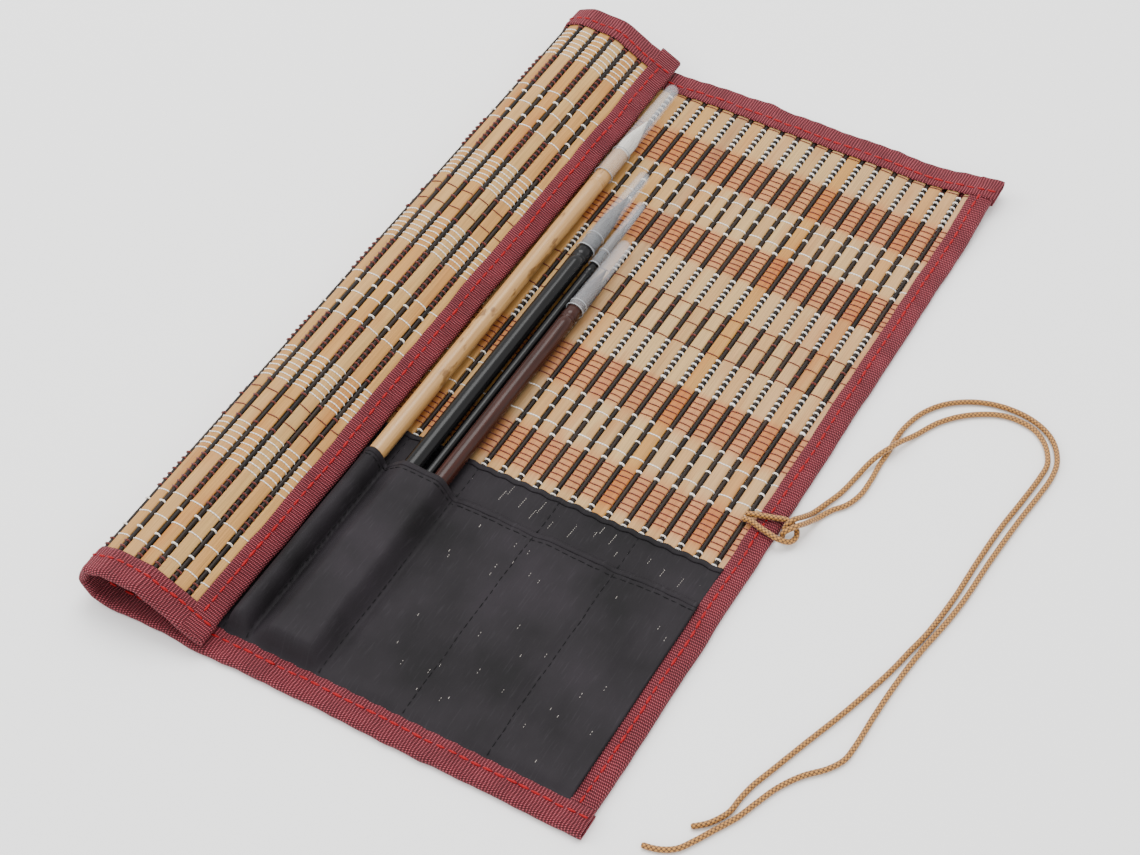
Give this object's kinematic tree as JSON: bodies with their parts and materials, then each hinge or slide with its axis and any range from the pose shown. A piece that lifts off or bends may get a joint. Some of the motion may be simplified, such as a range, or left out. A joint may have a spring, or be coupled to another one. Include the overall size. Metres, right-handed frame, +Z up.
{
  "type": "brush roll case",
  "caption": "Roll-up bamboo slat case for paint brushes, bound in tape, with a sewn cloth pocket, one rolled end, capped brushes and a doubled tie cord.",
  "frame": {"origin": "centre of the bounding box without the cord, at the level of the surface the case lies on", "axes": "+Y along the slats, away from the pocket end; +X towards the border that carries the cord; +Z up"},
  "size_m": [0.2575, 0.3264, 0.0199],
  "materials": {
    "bamboo": "split bamboo, satin, tone varies from slat to slat",
    "tape": "ribbed woven tape, dark red with pale flecks",
    "pocket_cloth": "thin closely woven cloth, near black",
    "cord": "braided cord, tan gold",
    "clear_cap": "clear plastic, thin wall",
    "white_hair": "soft white brush hair",
    "dark_hair": "dark brush hair",
    "handle_bamboo": "natural bamboo, satin",
    "handle_black": "black lacquered wood, gloss",
    "handle_brown": "brown lacquered wood, gloss"
  },
  "bodies": {
    "mat": {"slat_00": "bamboo", "slat_01": "bamboo", "slat_02": "bamboo", "slat_03": "bamboo", "slat_04": "bamboo", "slat_05": "bamboo", "slat_06": "bamboo", "slat_07": "bamboo", "slat_08": "bamboo", "slat_09": "bamboo", "slat_10": "bamboo", "slat_11": "bamboo", "slat_12": "bamboo", "slat_13": "bamboo", "slat_14": "bamboo", "slat_15": "bamboo", "slat_16": "bamboo", "slat_17": "bamboo", "slat_18": "bamboo", "slat_19": "bamboo", "slat_20": "bamboo", "slat_21": "bamboo", "slat_22": "bamboo", "slat_23": "bamboo", "slat_24": "bamboo", "binding_far": "tape", "binding_near": "tape", "binding_right": "tape", "pocket_lining": "pocket_cloth", "pocket_panel": "pocket_cloth", "binding_far_roll": "tape", "binding_near_roll": "tape", "pocket_lining_roll": "pocket_cloth", "pocket_panel_roll": "pocket_cloth", "cord_tail_a": "cord", "cord_tail_b": "cord", "cord_bight": "cord"},
    "roll_slat_25": {"slat_25": "bamboo"},
    "roll_slat_26": {"slat_26": "bamboo"},
    "roll_slat_27": {"slat_27": "bamboo"},
    "roll_slat_28": {"slat_28": "bamboo"},
    "roll_slats_29_30": {"slat_29": "bamboo", "slat_30": "bamboo"},
    "free_end": {"slat_31": "bamboo", "slat_32": "bamboo", "slat_33": "bamboo", "slat_34": "bamboo", "binding_free": "tape"},
    "brush_bamboo": {"brush_bamboo_handle": "handle_bamboo", "brush_bamboo_tuft": "white_hair"},
    "cap_bamboo": {"brush_bamboo_cap": "clear_cap"},
    "brush_black": {"brush_black_handle": "handle_black", "brush_black_tuft": "dark_hair"},
    "cap_black": {"brush_black_cap": "clear_cap"},
    "brush_slim": {"brush_slim_handle": "handle_black", "brush_slim_tuft": "dark_hair"},
    "cap_slim": {"brush_slim_cap": "clear_cap"},
    "brush_brown": {"brush_brown_handle": "handle_brown", "brush_brown_tuft": "dark_hair"},
    "cap_brown": {"brush_brown_cap": "clear_cap"}
  },
  "joints": [
    {"name": "unroll_24", "type": "hinge", "parent": "mat", "child": "roll_slat_25", "pos_m": [-0.08194, 0, 0.0016], "axis": [0, 1, 0], "range_deg": [-16, 0], "deforming": ["binding_far_roll", "binding_near_roll", "pocket_lining_roll", "pocket_panel_roll"]},
    {"name": "unroll_25", "type": "hinge", "parent": "roll_slat_25", "child": "roll_slat_26", "pos_m": [-0.08848, 0, 0.00347], "axis": [0, 1, 0], "range_deg": [-46, 0], "deforming": ["binding_far_roll", "binding_near_roll", "pocket_lining_roll", "pocket_panel_roll"]},
    {"name": "unroll_26", "type": "hinge", "parent": "roll_slat_26", "child": "roll_slat_27", "pos_m": [-0.09167, 0, 0.00948], "axis": [0, 1, 0], "range_deg": [-50, 0], "deforming": ["binding_far_roll", "binding_near_roll", "pocket_lining_roll", "pocket_panel_roll"]},
    {"name": "unroll_27", "type": "hinge", "parent": "roll_slat_27", "child": "roll_slat_28", "pos_m": [-0.08912, 0, 0.01578], "axis": [0, 1, 0], "range_deg": [-46, 0], "deforming": ["binding_far_roll", "binding_near_roll", "pocket_lining_roll", "pocket_panel_roll"]},
    {"name": "unroll_28", "type": "hinge", "parent": "roll_slat_28", "child": "roll_slats_29_30", "pos_m": [-0.08282, 0, 0.01833], "axis": [0, 1, 0], "range_deg": [-24, 0], "deforming": ["binding_far_roll", "binding_near_roll", "pocket_lining_roll", "pocket_panel_roll"]},
    {"name": "unroll_30", "type": "hinge", "parent": "roll_slats_29_30", "child": "free_end", "pos_m": [-0.06922, 0, 0.01786], "axis": [0, 1, 0], "range_deg": [-26, 0], "deforming": ["binding_far_roll", "binding_near_roll", "pocket_lining_roll", "pocket_panel_roll"]},
    {"name": "pull_out_bamboo", "type": "slide", "parent": "mat", "child": "brush_bamboo", "axis": [0, 1, 0.0038], "range_m": [0, 0.085]},
    {"name": "uncap_bamboo", "type": "slide", "parent": "brush_bamboo", "child": "cap_bamboo", "axis": [0, 1, 0.0038], "range_m": [0, 0.04]},
    {"name": "pull_out_black", "type": "slide", "parent": "mat", "child": "brush_black", "axis": [0, 1, 0.0038], "range_m": [0, 0.085]},
    {"name": "uncap_black", "type": "slide", "parent": "brush_black", "child": "cap_black", "axis": [0, 1, 0.0038], "range_m": [0, 0.036]},
    {"name": "pull_out_slim", "type": "slide", "parent": "mat", "child": "brush_slim", "axis": [0, 1, 0.0036], "range_m": [0, 0.085]},
    {"name": "uncap_slim", "type": "slide", "parent": "brush_slim", "child": "cap_slim", "axis": [0, 1, 0.0036], "range_m": [0, 0.028]},
    {"name": "pull_out_brown", "type": "slide", "parent": "mat", "child": "brush_brown", "axis": [0, 1, 0.0044], "range_m": [0, 0.085]},
    {"name": "uncap_brown", "type": "slide", "parent": "brush_brown", "child": "cap_brown", "axis": [0, 1, 0.0044], "range_m": [0, 0.026]}
  ]
}
